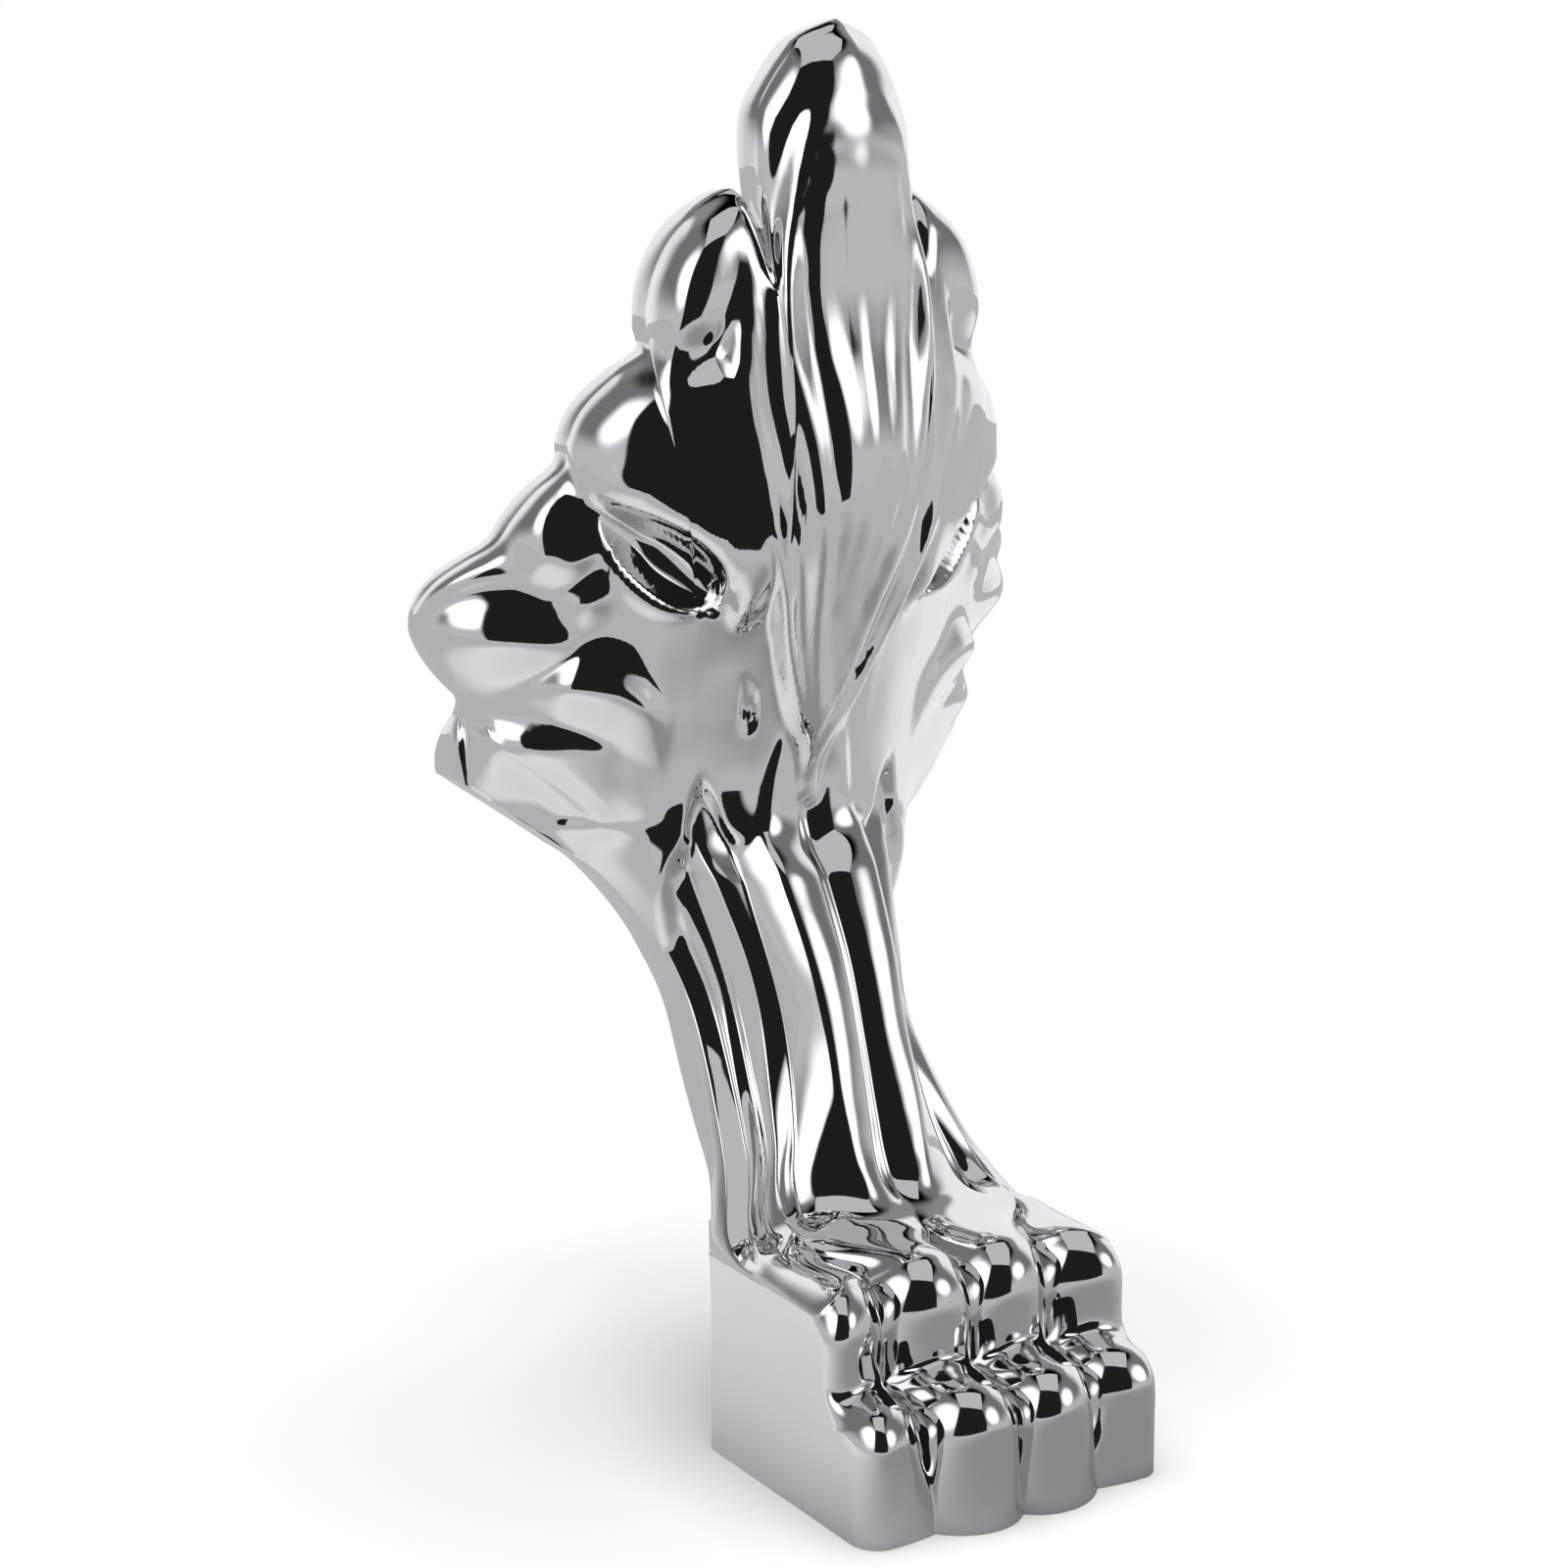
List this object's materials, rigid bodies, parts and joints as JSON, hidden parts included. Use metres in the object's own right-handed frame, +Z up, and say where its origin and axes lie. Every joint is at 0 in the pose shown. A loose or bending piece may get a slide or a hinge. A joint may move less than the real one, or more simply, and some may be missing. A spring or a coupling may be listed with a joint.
{
  "type": "bathtub claw foot",
  "caption": "Chromed cast claw foot for a freestanding bathtub: lion paw, fluted leaning leg and a lobed leaf shield that hugs the tub.",
  "frame": {"origin": "middle of the paw's flat sole, on the floor", "axes": "+Z up, toes towards -Y, the leaf shield's back towards +Y to the tub, +X across the foot"},
  "size_m": [0.1376, 0.1287, 0.2756],
  "materials": {
    "chrome_plate": "mirror polished chrome plating over a smooth casting"
  },
  "bodies": {
    "root": {"claw_foot": "chrome_plate"}
  },
  "joints": []
}
